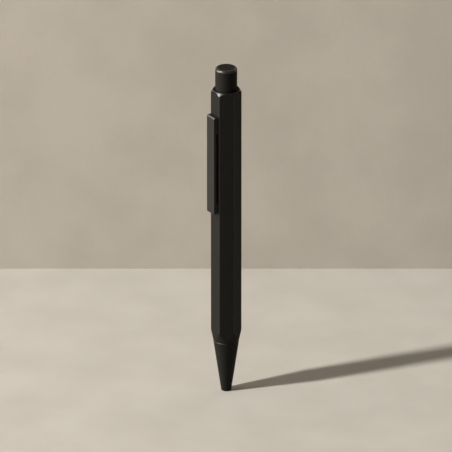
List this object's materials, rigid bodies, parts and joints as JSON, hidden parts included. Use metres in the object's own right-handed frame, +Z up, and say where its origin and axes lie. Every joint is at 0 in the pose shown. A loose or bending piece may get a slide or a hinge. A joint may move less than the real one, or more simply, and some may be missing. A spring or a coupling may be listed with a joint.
{
  "type": "retractable ballpoint pen",
  "caption": "Push-button ballpoint pen with a hexagonal matte-black metal barrel, pocket clip and screw-off conical nose; pressing the button slides the writing tip out.",
  "frame": {"origin": "centre of the nose's end face, on the pen's axis", "axes": "+Z up the pen's axis from the nose to the button; the clip's facet faces -X"},
  "size_m": [0.0119, 0.0112, 0.129],
  "materials": {
    "black_anodised": "matte black, bead-blasted and anodised",
    "black_coated_steel": "matte black coated spring steel",
    "black_acetal": "moulded black acetal",
    "white_acetal": "moulded natural acetal",
    "spring_steel": "drawn steel wire",
    "brass": "turned brass",
    "nickel_silver": "turned nickel silver",
    "polished_ball": "polished hard metal",
    "refill_steel": "drawn steel tube",
    "grey_plastic": "moulded plastic",
    "ink": "wet black ink"
  },
  "bodies": {
    "barrel": {"barrel": "black_anodised", "cam_sleeve": "black_acetal"},
    "button": {"push_button": "black_anodised", "thrust_cam": "white_acetal"},
    "refill": {"refill_tube": "refill_steel", "refill_nozzle": "brass", "refill_tip": "nickel_silver", "refill_end_plug": "grey_plastic", "ink_column": "ink"},
    "ball": {"writing_ball": "polished_ball"},
    "rotor": {"rotor": "white_acetal"},
    "clip": {"clip": "black_coated_steel"},
    "spring": {"return_spring": "spring_steel"},
    "nose": {"nose_cone": "black_anodised"}
  },
  "joints": [
    {"name": "button_press", "type": "slide", "parent": "barrel", "child": "button", "axis": [0, 0, -1], "range_m": [0, 0.006], "stiffness_N_per_m": 350, "springref_m": -0.005},
    {"name": "refill_advance", "type": "slide", "parent": "barrel", "child": "refill", "axis": [0, 0, -1], "range_m": [0, 0.006], "deforming": ["return_spring"]},
    {"name": "rotor_index", "type": "hinge", "parent": "refill", "child": "rotor", "pos_m": [0, 0, 0.0998], "axis": [0, 0, 1], "range_deg": [0, 22.5]},
    {"name": "ball_roll", "type": "hinge", "parent": "refill", "child": "ball", "pos_m": [0, 0, 0.002], "axis": [1, 0, 0], "continuous": true},
    {"name": "clip_flex", "type": "hinge", "parent": "barrel", "child": "clip", "pos_m": [-0.005, 0, 0.111], "axis": [0, 1, 0], "range_deg": [0, 2.5], "stiffness_Nm_per_rad": 6},
    {"name": "nose_draw", "type": "slide", "parent": "barrel", "child": "spring", "axis": [0, 0, -1], "range_m": [0, 0.00525]},
    {"name": "nose_turn", "type": "hinge", "parent": "spring", "child": "nose", "pos_m": [0, 0, 0.0204], "axis": [0, 0, -1], "range_deg": [0, 2520]}
  ],
  "couplings": [
    {"joint": "refill_advance", "follows": "button_press", "ratio": 1},
    {"joint": "rotor_index", "follows": "button_press", "rad_per_m": 65.449},
    {"joint": "nose_turn", "follows": "nose_draw", "rad_per_m": 8377.6}
  ]
}
